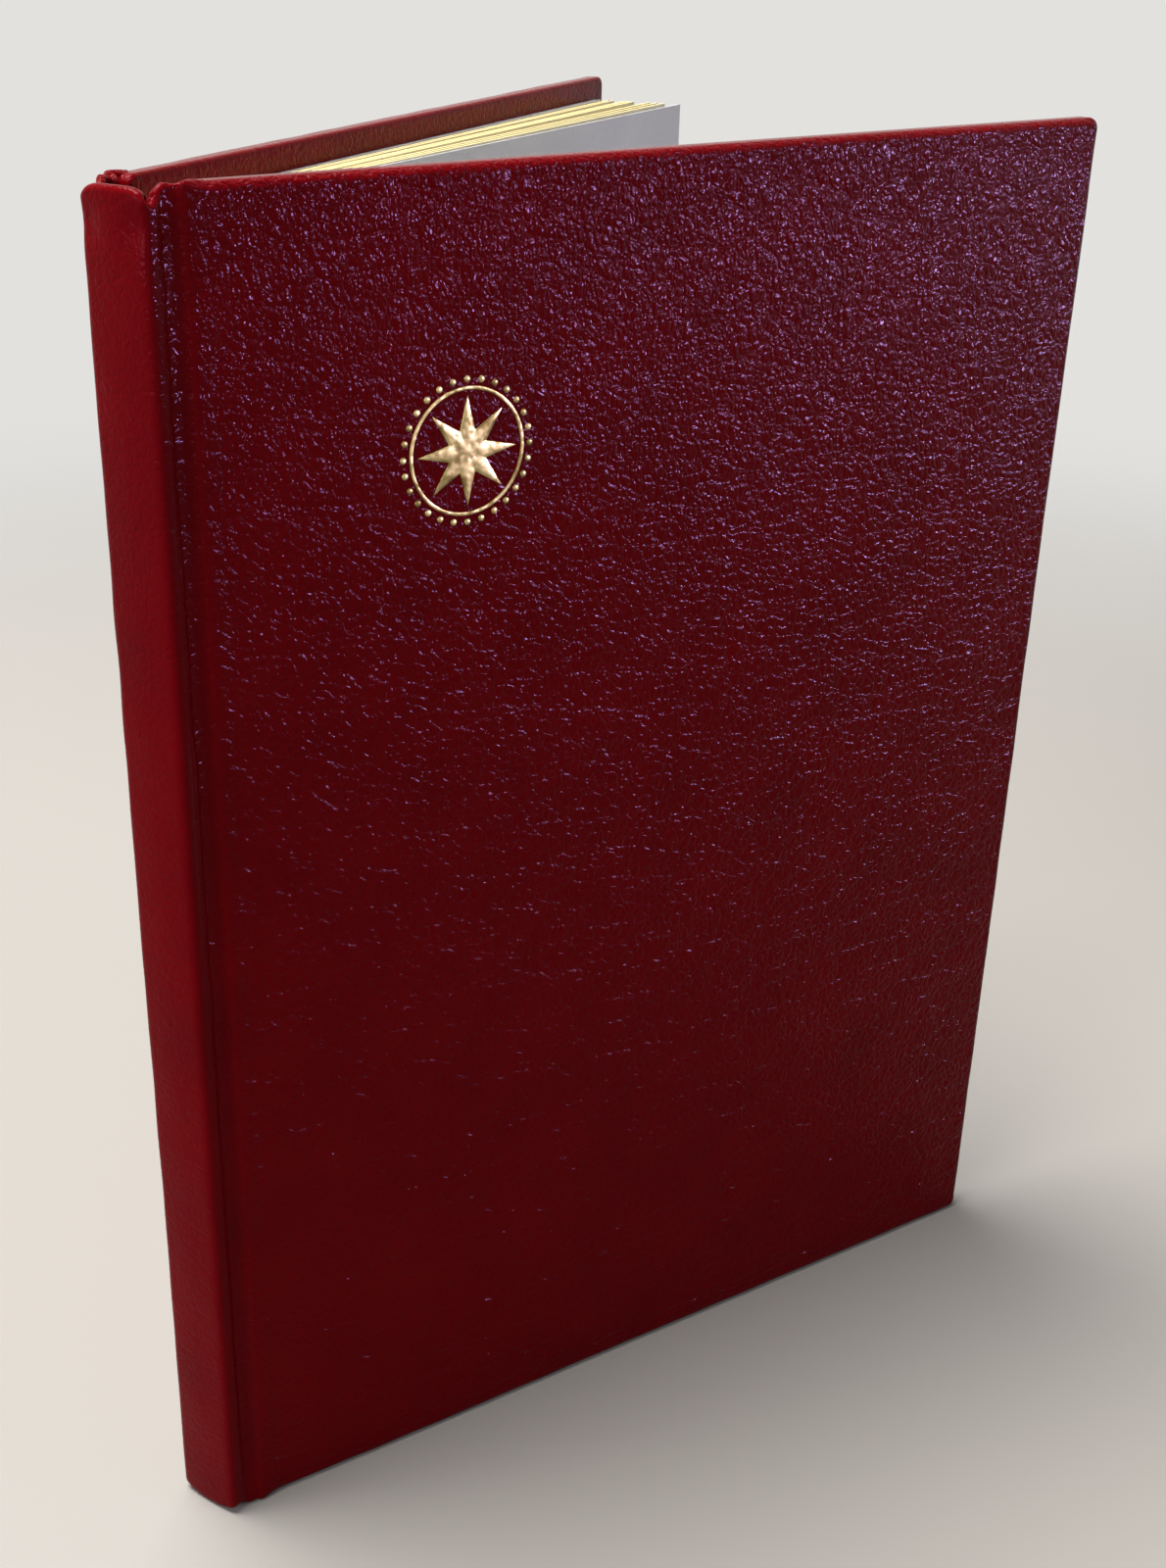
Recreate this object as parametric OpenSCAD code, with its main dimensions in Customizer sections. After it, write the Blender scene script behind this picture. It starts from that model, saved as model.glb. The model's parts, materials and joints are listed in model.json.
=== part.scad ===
// Pocket stamp album: a padded leatherette case with eight card leaves, standing part open on its tail.
// Each piece is drawn as in the shut album and then turned, with its body, to the open rest pose.
// Shut album: both joint axes stand on x = 0, +X runs to the fore-edge, -Y is the front, z = 0 the tail.

/* [Covers] */
// Height of the covers, tail to head
cover_h = 220; // [150:1:320]
// Width of a cover, from the ridge beside the joint to the fore-edge
cover_w = 161; // [120:1:240]
// Thickness of the board inside a cover
board_t = 1.8; // [1.2:0.1:3.2]
// Thickness of the foam over a board
padding_t = 1; // [0.6:0.1:2]
// Thickness of the leatherette
leather_t = 0.5; // [0.3:0.05:0.8]
// Thickness of the endpapers, pasted down or loose
endpaper_t = 0.2; // [0.1:0.05:0.3]
// Radius of the covers' padded outer edges
edge_r = 1.4; // [0.9:0.1:1.8]
// Radius of the covers' corners at the fore-edge, seen from the front
corner_r = 2.4; // [2:0.2:10]
// Width of the leatherette turned in over a board's inner face
turn_in_w = 14; // [8:1:30]
// Width of turn-in left bare round a pasted-down endpaper
bare_w = 4; // [2:0.5:7]

/* [Spine and joints] */
// How far each long edge of the spine stands in from the cover's outer face
spine_inset = 0.7; // [0.4:0.1:2]
// Distance from the joint axes to the spine's outer face
spine_reach = 4.5; // [4.4:0.1:8]
// Thickness of the spine's board
spine_board_t = 1.5; // [0.8:0.1:2]
// Thickness of the cloth lining inside the spine
lining_t = 0.3; // [0.1:0.1:0.5]
// Radius of the spine's long edges
spine_edge_r = 1.9; // [1:0.1:2.4]
// Radius of the rounded face of the spine, across its width
spine_crown_r = 60; // [30:5:200]
// Height of the leatherette rolled in at the head and tail of the spine
spine_turn_in_h = 12; // [6:1:25]
// Distance from a joint axis to the ridge of the cover
joint_w = 3; // [2.8:0.1:5]
// Depth of a joint axis below the cover's outer face
joint_depth = 2.4; // [1.9:0.1:2.8]
// Clearance between the leatherette on the spine's side of an axis and that on the cover's side
joint_gap = 0.5; // [0.3:0.1:1]

/* [Leaves] */
// Thickness of a leaf's card
card_t = 0.32; // [0.24:0.02:0.8]
// Thickness of a glassine strip
strip_t = 0.05; // [0.04:0.01:0.15]
// Thickness of a glassine interleaf
interleaf_t = 0.04; // [0.03:0.01:0.12]
// Air beside each leaf in the shut album
leaf_gap = 0.14; // [0.1:0.02:0.6]
// How far the covers stand out past the leaves at the head, tail and fore-edge
square_w = 4; // [2:0.5:8]
// Distance from the joint axes to the roots of the leaves
root_reach = 3.6; // [3:0.1:6]
// Width of the cloth guard on the root of a leaf
guard_w = 9; // [5:1:20]

/* [Strips] */
// Rows of strips on a page
strip_rows = 6; // [3:1:8]
// Bare card between the top of a strip and the foot of the next
strip_bare = 8; // [4:1:12]
// Bare card at the sides of the strips
strip_side = 4; // [2:1:10]
// Bare card below the lowest strip
strip_foot = 6; // [3:1:12]

/* [Emblem] */
// Outer radius of the foil emblem
emblem_r = 11; // [6:0.5:15]
// Thickness of the foil as it stands on the leatherette
foil_t = 0.12; // [0.08:0.01:0.3]
// Distance from the cover's ridge to the emblem's centre
emblem_x = 40.5; // [25:0.5:80]
// Distance from the head of the cover to the emblem's centre
emblem_drop = 39.5; // [25:0.5:80]
// Beads round the emblem
bead_count = 28; // [12:2:36]
// Points of the emblem's star
star_points = 8; // [5:1:12]

/* [Opening] */
// Angle at which the front cover stands open
front_open = 23.5; // [12:0.5:80]
// Angle at which the back cover stands open
back_open = 10.5; // [6:0.5:80]

/* [Hidden] */
$fn = 48;
// Sides of the short arcs that are blended into a cover's edge
EDGE_FN = 28;
// Steps from a cover's rim to its face over a rounded edge
EDGE_STEPS = 4;
// Thickness of a layer that a rounded edge is blended through
SKIN = 0.01;
LEAF_COUNT = 8;
// Angle between each sheet and the one behind it, back flyleaf first and front flyleaf last
FAN = [0.25, 0.5, 0.15, 0.7, 0.1, 0.1, 1, 0.35, 0.35, 1.07];

// Depths below a cover's outer face
board_depth = leather_t + padding_t;
infill_depth = board_depth + board_t;
case_t = infill_depth + leather_t;
cover_t = case_t + endpaper_t;
inner_edge_r = 0.6;
// How much more a cover's corners at the joint are rounded than its padded edge
joint_corner_extra = 0.2;
joint_corner_r = edge_r + joint_corner_extra;
// Flat left on the side of the padding below its rounded edge
padding_land = 0.1;
core_r = min(edge_r - leather_t, padding_t - padding_land);
core_corner_r = corner_r - leather_t;
core_joint_r = joint_corner_r - leather_t;
core_w = cover_w - 2 * leather_t;
core_h = cover_h - 2 * leather_t;
infill_w = core_w - turn_in_w;
infill_h = core_h - 2 * turn_in_w;

// The shut block, front to back
leaf_pitch = card_t + 2 * strip_t + interleaf_t + leaf_gap;
flyleaf_pitch = endpaper_t + leaf_gap;
block_t = LEAF_COUNT * leaf_pitch + 2 * flyleaf_pitch;
shut_t = block_t + 2 * cover_t;
leaf_h = cover_h - 2 * square_w;
leaf_w = joint_w + cover_w - square_w - root_reach;
page_t = card_t / 2 + strip_t;
strips_w = leaf_w - guard_w - 2 * strip_side;
strip_pitch = (leaf_h - strip_foot) / strip_rows;
strip_h = strip_pitch - strip_bare;

// The joints and the spine
axis_y = shut_t / 2 - joint_depth;
spine_w = shut_t - 2 * spine_inset;
spine_depth = leather_t + spine_board_t;
spine_inner_x = -spine_reach + spine_depth;
// Width of the turn-in and the lining, clear of the joint leathers
spine_inner_w = spine_w - 4 * leather_t;
joint_tip_r = leather_t / 2;
tongue_start = joint_tip_r + joint_gap;

// A point turned about z
function turned(p, a) = [p.x * cos(a) - p.y * sin(a), p.x * sin(a) + p.y * cos(a)];

// Sheets are counted from the back: 0 is the back flyleaf, 1 is leaf 8, 8 is leaf 1, 9 the front flyleaf
function sheet_y(i) =
    i == 0 ? (block_t - flyleaf_pitch) / 2 :
    i > LEAF_COUNT ? -(block_t - flyleaf_pitch) / 2 :
    block_t / 2 - flyleaf_pitch - (i - 0.5) * leaf_pitch;
function fan_sum(i) = i < 0 ? 0 : FAN[i] + fan_sum(i - 1);
function sheet_turn(i) = back_open - fan_sum(i);
// Each root is carried by the sheet behind it, and the first by the back cover
function sheet_root(i) =
    i == 0 ? [0, axis_y] + turned([root_reach, sheet_y(0) - axis_y], back_open) :
    sheet_root(i - 1) + turned([0, sheet_y(i) - sheet_y(i - 1)], sheet_turn(i - 1));
function leaf_sheet(leaf) = LEAF_COUNT + 1 - leaf;

// The footprint's corners, which the origin is set under the middle of
rim_x = joint_w + cover_w;
back_inner_corner = turned([rim_x - inner_edge_r, joint_depth - case_t + inner_edge_r], back_open);
back_outer_corner = turned([rim_x - edge_r, joint_depth - edge_r], back_open);
front_outer_corner = turned([rim_x - edge_r, edge_r - joint_depth], -front_open);
high_x = back_inner_corner.x + inner_edge_r;
high_y = axis_y + back_outer_corner.y + edge_r;
low_y = -axis_y + front_outer_corner.y - edge_r;
origin_x = (high_x - spine_reach) / 2;
origin_y = (high_y + low_y) / 2;

// Places: a piece of each body is drawn in its own frame and moved to the rest pose

module on_spine() {
    translate([-origin_x, -origin_y, 0])
        children();
}

// A cover is drawn with its outer face on y = 0, its inside toward +y and its ridge on x = joint_w
module on_front_cover() {
    on_spine()
        translate([0, -axis_y, 0])
            rotate([0, 0, -front_open])
                translate([0, -joint_depth, 0])
                    children();
}

module on_back_cover() {
    on_spine()
        translate([0, axis_y, 0])
            rotate([0, 0, back_open])
                translate([0, joint_depth, 0])
                    mirror([0, 1, 0])
                        children();
}

// A sheet is drawn with its root on the z axis and its middle plane on y = 0
module on_sheet(i) {
    on_spine()
        translate([sheet_root(i).x, sheet_root(i).y, 0])
            rotate([0, 0, sheet_turn(i)])
                children();
}

// Shapes shared by the pieces

// An upright cylinder laid on its side, along +y, for a corner of a slab
module corner_disc(x, z, y, r, t) {
    translate([x, y, z])
        rotate([-90, 0, 0])
            cylinder(r = max(r, SKIN), h = t, $fn = EDGE_FN);
}

// A slab with its outer face on y = 0, rounded from rim to outer face by outer_r and to inner face by
// inner_r; the corners at x = 0 have radius joint_r and those at the fore-edge radius fore_r
module padded_slab(w, h, t, outer_r, inner_r, joint_r, fore_r) {
    hull() {
        for (step = [0:EDGE_STEPS], corner_z = [0, 1]) {
            a = 90 * step / EDGE_STEPS;
            inset = outer_r * (1 - cos(a));
            y = outer_r * (1 - sin(a));
            joint_z = corner_z == 0 ? joint_r : h - joint_r;
            fore_z = corner_z == 0 ? fore_r : h - fore_r;
            corner_disc(joint_r, joint_z, y, joint_r - inset, SKIN);
            corner_disc(w - fore_r, fore_z, y, fore_r - inset, SKIN);
        }
        for (step = [0:2], corner_z = [0, 1]) {
            a = 90 * step / 2;
            inset = inner_r * (1 - cos(a));
            y = t - SKIN - inner_r * (1 - sin(a));
            joint_z = corner_z == 0 ? joint_r : h - joint_r;
            fore_z = corner_z == 0 ? fore_r : h - fore_r;
            corner_disc(joint_r, joint_z, y, joint_r - inset, SKIN);
            corner_disc(w - fore_r, fore_z, y, fore_r - inset, SKIN);
        }
    }
}

// The outline of a board, standing on its tail, with its own corner radius at each side
module board_outline(w, h, joint_r, fore_r) {
    translate([joint_r, 0])
        square([w - joint_r - fore_r, h]);
    translate([0, joint_r])
        square([joint_r, h - 2 * joint_r]);
    translate([w - fore_r, fore_r])
        square([fore_r, h - 2 * fore_r]);
    for (z = [joint_r, h - joint_r])
        translate([joint_r, z])
            circle(r = joint_r);
    for (z = [fore_r, h - fore_r])
        translate([w - fore_r, z])
            circle(r = fore_r);
}

// Pieces of a cover, drawn in the cover's frame

module cover_board() {
    translate([joint_w + leather_t, infill_depth, leather_t])
        rotate([90, 0, 0])
            linear_extrude(height = board_t)
                board_outline(core_w, core_h, core_joint_r, core_corner_r);
}

module cover_padding() {
    translate([joint_w + leather_t, leather_t, leather_t])
        padded_slab(core_w, core_h, padding_t, core_r, 0, core_joint_r, core_corner_r);
}

module cover_infill() {
    translate([joint_w + leather_t, infill_depth, leather_t + turn_in_w])
        cube([infill_w, leather_t, infill_h]);
}

module cover_pastedown() {
    translate([joint_w + leather_t, case_t, bare_w])
        cube([cover_w - leather_t - bare_w, endpaper_t, cover_h - 2 * bare_w]);
}

// The skin wraps the core, turns in over the board and runs on into the joint as a tongue
module cover_leather() {
    difference() {
        translate([joint_w, 0, 0])
            padded_slab(cover_w, cover_h, case_t, edge_r, inner_edge_r, joint_corner_r, corner_r);
        cover_padding();
        cover_board();
        cover_infill();
    }
    translate([tongue_start, joint_depth - leather_t / 2, joint_corner_r])
        cube([joint_w - tongue_start, leather_t, cover_h - 2 * joint_corner_r]);
}

// The emblem, flat on the xy plane: a ring, beads round it and a star inside it
module emblem_art() {
    bead_r = emblem_r * 0.05;
    ring_r = emblem_r * 0.86;
    ring_w = emblem_r * 0.05;
    star_r = emblem_r * 0.74;
    star_waist_r = emblem_r * 0.3;
    difference() {
        circle(r = ring_r);
        circle(r = ring_r - ring_w);
    }
    for (i = [0:bead_count - 1])
        rotate(360 * i / bead_count)
            translate([emblem_r - bead_r, 0])
                circle(r = bead_r);
    polygon([
        for (i = [0:2 * star_points - 1])
            let (a = 90 + 180 * i / star_points, r = i % 2 == 0 ? star_r : star_waist_r)
                [r * cos(a), r * sin(a)]
    ]);
}

// A bar as the spine is seen from above: crowned across its width, with round long edges
module spine_bar(depth, w, h, corner, crown) {
    round_r = min(corner, depth - SKIN);
    intersection() {
        linear_extrude(height = h)
            union() {
                translate([round_r, -w / 2])
                    square([depth - round_r, w]);
                translate([0, round_r - w / 2])
                    square([round_r, w - 2 * round_r]);
                for (side = [-1, 1])
                    translate([round_r, side * (w / 2 - round_r)])
                        circle(r = round_r);
            }
        translate([0, -w / 2, 0])
            cube([depth, w, h]);
        translate([crown, 0, 0])
            cylinder(r = crown, h = h, $fn = 180);
    }
}

module spine_core() {
    translate([leather_t - spine_reach, 0, leather_t])
        spine_bar(spine_board_t, spine_w - 2 * leather_t, cover_h - 2 * leather_t,
            spine_edge_r - leather_t, spine_crown_r - leather_t);
}

// Parts

module spine_board() {
    color("tan")
        on_spine()
            spine_core();
}

module spine_leather() {
    color("darkred")
        on_spine() {
            difference() {
                translate([-spine_reach, 0, 0])
                    spine_bar(spine_depth, spine_w, cover_h, spine_edge_r, spine_crown_r);
                spine_core();
            }
            for (z = [0, cover_h - spine_turn_in_h])
                translate([spine_inner_x, -spine_inner_w / 2, z])
                    cube([leather_t, spine_inner_w, spine_turn_in_h]);
        }
}

module spine_lining() {
    color("beige")
        on_spine()
            translate([spine_inner_x, -spine_inner_w / 2, spine_turn_in_h])
                cube([lining_t, spine_inner_w, cover_h - 2 * spine_turn_in_h]);
}

// From the edge of the spine to a round tip at the joint axis; side is -1 at the front and 1 at the back
module joint_leather(side) {
    start = [spine_inner_x, side * (spine_w - leather_t) / 2];
    tip = [0, side * axis_y];
    run = tip - start;
    across = [-run.y, run.x] * joint_tip_r / norm(run);
    half_wall = [0, leather_t / 2];
    color("maroon")
        on_spine()
            linear_extrude(height = cover_h)
                union() {
                    polygon([start - half_wall, tip - across, tip + across, start + half_wall]);
                    translate(tip)
                        circle(r = joint_tip_r);
                }
}

module front_joint_leather() {
    joint_leather(-1);
}

module back_joint_leather() {
    joint_leather(1);
}

module front_board() {
    color("tan")
        on_front_cover()
            cover_board();
}

module front_padding() {
    color("gainsboro")
        on_front_cover()
            cover_padding();
}

module front_leather() {
    color("crimson")
        on_front_cover()
            cover_leather();
}

module front_infill() {
    color("wheat")
        on_front_cover()
            cover_infill();
}

module front_pastedown() {
    color("whitesmoke")
        on_front_cover()
            cover_pastedown();
}

module front_emblem() {
    color("goldenrod")
        on_front_cover()
            translate([joint_w + emblem_x, 0, cover_h - emblem_drop])
                rotate([90, 0, 0])
                    linear_extrude(height = foil_t)
                        emblem_art();
}

module back_board() {
    color("tan")
        on_back_cover()
            cover_board();
}

module back_padding() {
    color("gainsboro")
        on_back_cover()
            cover_padding();
}

module back_leather() {
    color("crimson")
        on_back_cover()
            cover_leather();
}

module back_infill() {
    color("wheat")
        on_back_cover()
            cover_infill();
}

module back_pastedown() {
    color("whitesmoke")
        on_back_cover()
            cover_pastedown();
}

module flyleaf(i) {
    color("lavender")
        on_sheet(i)
            translate([-endpaper_t / 2, -endpaper_t / 2, square_w])
                cube([leaf_w + endpaper_t / 2, endpaper_t, leaf_h]);
}

module front_flyleaf() {
    flyleaf(LEAF_COUNT + 1);
}

module back_flyleaf() {
    flyleaf(0);
}

module leaf_card(leaf) {
    color("lemonchiffon")
        on_sheet(leaf_sheet(leaf))
            translate([0, -card_t / 2, square_w])
                cube([leaf_w, card_t, leaf_h]);
}

// The guard folds round the root of the card
module leaf_guard(leaf) {
    color("ivory")
        on_sheet(leaf_sheet(leaf))
            translate([0, 0, square_w])
                linear_extrude(height = leaf_h)
                    difference() {
                        union() {
                            circle(r = page_t);
                            translate([0, -page_t])
                                square([guard_w, 2 * page_t]);
                        }
                        translate([0, -card_t / 2])
                            square([2 * guard_w, card_t]);
                    }
}

// side is -1 for the front page and 1 for the back page
module leaf_strips(leaf, side) {
    color("aliceblue")
        on_sheet(leaf_sheet(leaf))
            for (row = [0:strip_rows - 1])
                translate([guard_w + strip_side, side < 0 ? -page_t : card_t / 2,
                    square_w + strip_foot + row * strip_pitch])
                    cube([strips_w, strip_t, strip_h]);
}

module leaf_interleaf(leaf) {
    color("white")
        on_sheet(leaf_sheet(leaf))
            translate([0, -page_t - interleaf_t, square_w])
                cube([leaf_w, interleaf_t, leaf_h]);
}

spine_board();
spine_leather();
spine_lining();
front_joint_leather();
back_joint_leather();
front_board();
front_padding();
front_leather();
front_infill();
front_pastedown();
front_emblem();
back_board();
back_padding();
back_leather();
back_infill();
back_pastedown();
front_flyleaf();
back_flyleaf();
for (leaf = [1:LEAF_COUNT]) {
    leaf_card(leaf);
    leaf_guard(leaf);
    leaf_strips(leaf, -1);
    leaf_strips(leaf, 1);
    leaf_interleaf(leaf);
}
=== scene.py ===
"""Looks for a padded leatherette stamp album that stands part open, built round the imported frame.

Shapes are worked out in millimetres with numpy, in one of two frames, and put into the row frame in metres.
The hinge frame has its origin midway between the two joint axes, with x towards the leaves and y towards
the back. A cover's frame has x out from its joint axis, then the depth below its outer face, then z.
"""
import json
import math
import bmesh
import bpy
import numpy as np
from mathutils import Matrix


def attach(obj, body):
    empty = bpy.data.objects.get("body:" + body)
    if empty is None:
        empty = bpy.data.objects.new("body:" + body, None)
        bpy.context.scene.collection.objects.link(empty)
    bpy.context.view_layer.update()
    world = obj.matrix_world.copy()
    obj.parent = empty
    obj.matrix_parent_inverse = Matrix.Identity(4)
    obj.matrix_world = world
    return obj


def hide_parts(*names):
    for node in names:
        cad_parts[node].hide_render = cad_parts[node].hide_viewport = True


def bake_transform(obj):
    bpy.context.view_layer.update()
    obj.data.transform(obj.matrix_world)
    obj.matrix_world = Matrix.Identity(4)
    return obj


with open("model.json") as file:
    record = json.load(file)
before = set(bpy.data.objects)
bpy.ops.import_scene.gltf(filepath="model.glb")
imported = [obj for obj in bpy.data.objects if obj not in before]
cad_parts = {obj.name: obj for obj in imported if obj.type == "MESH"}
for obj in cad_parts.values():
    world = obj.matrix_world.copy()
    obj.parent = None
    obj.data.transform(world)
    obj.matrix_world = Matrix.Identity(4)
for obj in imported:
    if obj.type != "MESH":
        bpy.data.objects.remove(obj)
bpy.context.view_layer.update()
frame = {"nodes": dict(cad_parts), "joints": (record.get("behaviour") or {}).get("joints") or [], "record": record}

MM = 0.001
JOINTS = {joint["name"]: joint for joint in frame["joints"]}
FRONT, BACK = -1, 1
AXIS = {
    side: np.array(JOINTS[name]["pos_m"][:2]) / MM
    for side, name in ((FRONT, "front_cover_hinge"), (BACK, "back_cover_hinge"))
}
OPEN = {
    side: math.radians(-JOINTS[name]["range_deg"][0])
    for side, name in ((FRONT, "front_cover_hinge"), (BACK, "back_cover_hinge"))
}
HINGE_ORIGIN = (AXIS[FRONT] + AXIS[BACK]) / 2
AXIS_Y = (AXIS[BACK][1] - AXIS[FRONT][1]) / 2

# Sizes of the case in millimetres, as the solids have them.
COVER_H = 220.0
COVER_W = 161.0
JOINT_W = 3.0
JOINT_DEPTH = 2.4
CASE_T = 3.8
LEATHER_T = 0.5
EDGE_R = 1.4
INNER_EDGE_R = 0.6
CORNER_R = 1.8
TURN_IN_W = 14.0
SPINE_TURN_IN_H = 12.0
EMBLEM_X = 40.5
EMBLEM_DROP = 39.5
EMBLEM_R = 11.0


# Frames and meshes

def turn(x, y, angle):
    """A point turned anticlockwise about z: x cos - y sin, x sin + y cos."""
    return x * math.cos(angle) - y * math.sin(angle), x * math.sin(angle) + y * math.cos(angle)


def on_cover(points, side):
    """Takes points of a cover's frame to the row frame: the depth counts back from the face to the joint's
    axis, the point turns with the cover, and the axis is added."""
    x, y = turn(points[..., 0], side * (JOINT_DEPTH - points[..., 1]), side * OPEN[side])
    return np.stack([x + AXIS[side][0], y + AXIS[side][1], points[..., 2]], -1)


def in_hinge(x, depth, side):
    """A point of a cover's frame as x and y of the hinge frame."""
    px, py = turn(x, side * (JOINT_DEPTH - depth), side * OPEN[side])
    return px, py + side * AXIS_Y


def on_hinge(points):
    """Takes points of the hinge frame to the row frame by adding its origin."""
    return points + np.array([HINGE_ORIGIN[0], HINGE_ORIGIN[1], 0])


def smoothstep(x, low, high):
    """0 below low, 1 above high and 3t^2 - 2t^3 between."""
    t = np.clip((x - low) / (high - low), 0, 1)
    return t * t * (3 - 2 * t)


def bell(x, centre, width):
    """A bell curve: exp of minus the square of the distance over the width."""
    return np.exp(-(((x - centre) / width) ** 2))


def grid_normals(grid):
    """Unit normals of a grid of points: the cross product of its two gradients."""
    normal = np.cross(np.gradient(grid, axis=0), np.gradient(grid, axis=1))
    return normal / np.maximum(np.linalg.norm(normal, axis=-1, keepdims=True), 1e-9)


def quads(index):
    """The faces between neighbours on a grid of vertex numbers."""
    return np.stack([index[:-1, :-1], index[1:, :-1], index[1:, 1:], index[:-1, 1:]], -1).reshape(-1, 4)


SAME_PLACE = 1e-7


def make_piece(name, points, faces, material, merge=False, grain=None):
    """A smooth mesh from points in millimetres of the row frame. Its faces are turned over if the sum of
    each face's corner dotted with its area vector, six times the volume, is below zero. grain is the depth of
    the leatherette's embossing at each point of the outside, from 0 to 1; the inside takes the same."""
    a, b, c, d = (points[faces[:, i]] for i in range(4))
    volume = np.einsum("ij,ij->", a, np.cross(b - a, c - a) + np.cross(c - a, d - a))
    if volume < 0:
        faces = faces[:, ::-1]
    mesh = bpy.data.meshes.new(name)
    mesh.vertices.add(len(points))
    mesh.vertices.foreach_set("co", (points * MM).astype(np.float32).ravel())
    mesh.loops.add(faces.size)
    mesh.loops.foreach_set("vertex_index", faces.astype(np.int32).ravel())
    mesh.polygons.add(len(faces))
    mesh.polygons.foreach_set("loop_start", np.arange(0, faces.size, 4, dtype=np.int32))
    mesh.polygons.foreach_set("use_smooth", np.ones(len(faces), bool))
    mesh.update(calc_edges=True)
    if grain is not None:
        depth = mesh.attributes.new("grain", "FLOAT", "POINT")
        depth.data.foreach_set("value", np.tile(grain.ravel(), 2).astype(np.float32))
    if merge:
        work = bmesh.new()
        work.from_mesh(mesh)
        bmesh.ops.remove_doubles(work, verts=work.verts, dist=SAME_PLACE)
        bmesh.ops.recalc_face_normals(work, faces=work.faces)
        work.to_mesh(mesh)
        work.free()
    mesh.materials.append(material)
    piece = bpy.data.objects.new(name, mesh)
    bpy.context.scene.collection.objects.link(piece)
    return piece


def shell(grid, thickness, outward):
    """Points and faces of a closed wall: the grid, the same grid moved in along its normals by the
    thickness, and quads round the rim. outward points roughly away from the wall's inner side."""
    normal = grid_normals(grid)
    if np.einsum("ijk,k->", normal, outward) < 0:
        normal = -normal
    rows, columns = grid.shape[:2]
    index = np.arange(rows * columns).reshape(rows, columns)
    inner = index + rows * columns
    rim = np.concatenate([index[0], index[1:, -1], index[-1, -2::-1], index[-2:0:-1, 0], index[:1, 0]])
    rim_inner = rim + rows * columns
    faces = np.concatenate([
        quads(index),
        quads(inner)[:, ::-1],
        np.stack([rim[:-1], rim[1:], rim_inner[1:], rim_inner[:-1]], -1)[:, ::-1],
    ])
    return np.concatenate([grid.reshape(-1, 3), (grid - normal * thickness).reshape(-1, 3)]), faces


SEED = 11
WAVES = np.random.default_rng(SEED)


def wave_set(count, shortest, longest):
    """Directions over wavelengths, and phases, for a sum of plane waves."""
    heading = WAVES.normal(size=(count, 3))
    heading /= np.linalg.norm(heading, axis=1, keepdims=True)
    length = np.exp(WAVES.uniform(math.log(shortest), math.log(longest), count))
    return heading * (2 * math.pi / length)[:, None], WAVES.uniform(0, 2 * math.pi, count)


BROAD_WAVES = wave_set(7, 45, 110)
FINE_WAVES = wave_set(14, 9, 26)


def unevenness(points, broad, fine):
    """Height of hand-laid leatherette: two sums of plane waves, of amplitudes broad and fine."""
    height = 0
    for (vectors, phases), amplitude in ((BROAD_WAVES, broad), (FINE_WAVES, fine)):
        height = height + amplitude * np.sin(points @ vectors.T + phases).sum(-1) / math.sqrt(len(phases))
    return height


# Materials

def linear(code):
    """An sRGB hex colour as linear RGBA."""
    channels = [int(code[i:i + 2], 16) / 255 for i in (1, 3, 5)]
    return [c / 12.92 if c <= 0.04045 else ((c + 0.055) / 1.055) ** 2.4 for c in channels] + [1.0]


def per_metre(size):
    """How many of a size in millimetres go into a metre. A pattern's scale is such a number, as Object
    coordinates are in metres."""
    return 1 / (size * MM)


def add(tree, kind, settings=None, **inputs):
    """Adds a node: settings are its properties, and inputs its sockets by name or number, each given a value
    or linked from another node's output."""
    made = tree.nodes.new(kind)
    for key, value in (settings or {}).items():
        setattr(made, key, value)
    for key, value in inputs.items():
        socket = made.inputs[int(key[1:])] if key[0] == "_" else made.inputs[key.replace("_", " ")]
        if isinstance(value, bpy.types.NodeSocket):
            tree.links.new(value, socket)
        else:
            socket.default_value = value
    return made


def new_material(name, **sockets):
    """A Principled material with constants on the shader's own sockets; returns it, its tree, its shader and
    the Object coordinates."""
    made = bpy.data.materials.new(name)
    made.use_nodes = True
    tree = made.node_tree
    shader = tree.nodes["Principled BSDF"]
    for key, value in sockets.items():
        shader.inputs[key.replace("_", " ")].default_value = value
    coords = tree.nodes.new("ShaderNodeTexCoord").outputs["Object"]
    return made, tree, shader, coords


def mix_colours(tree, factor, low, high):
    """The colour between low and high at a factor; each is a value or another node's output."""
    made = tree.nodes.new("ShaderNodeMix")
    made.data_type = "RGBA"
    for number, value in ((0, factor), (6, low), (7, high)):
        if isinstance(value, bpy.types.NodeSocket):
            tree.links.new(value, made.inputs[number])
        else:
            made.inputs[number].default_value = value
    return made.outputs[2]


def creases(tree, source, size, width):
    """Pillowy cells: 0 on the cells' tops, rising to 1 at the creases between them as the square of the way
    down. size is a cell in millimetres, and width the share of it that a side takes."""
    cells = add(tree, "ShaderNodeTexVoronoi", {"feature": "DISTANCE_TO_EDGE"},
                Vector=source, Scale=per_metre(size))
    down = add(tree, "ShaderNodeMapRange",
               Value=cells.outputs["Distance"], From_Max=width, To_Min=1.0, To_Max=0.0)
    return add(tree, "ShaderNodeMath", {"operation": "POWER"}, _0=down.outputs[0], _1=2.0).outputs[0]


PEBBLE, FINE_PEBBLE, UPRIGHT_PEBBLE, CREASE_CELL = 1.6, 0.9, 1.2, 8.5
PEBBLE_SIDE, FINE_SIDE, CREASE_SIDE = 0.42, 0.4, 0.1
EMBOSS_DEPTH = 0.105
UPRIGHT_FROM, UPRIGHT_FULL = 120, 210
ROW_TILT = 16


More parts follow.
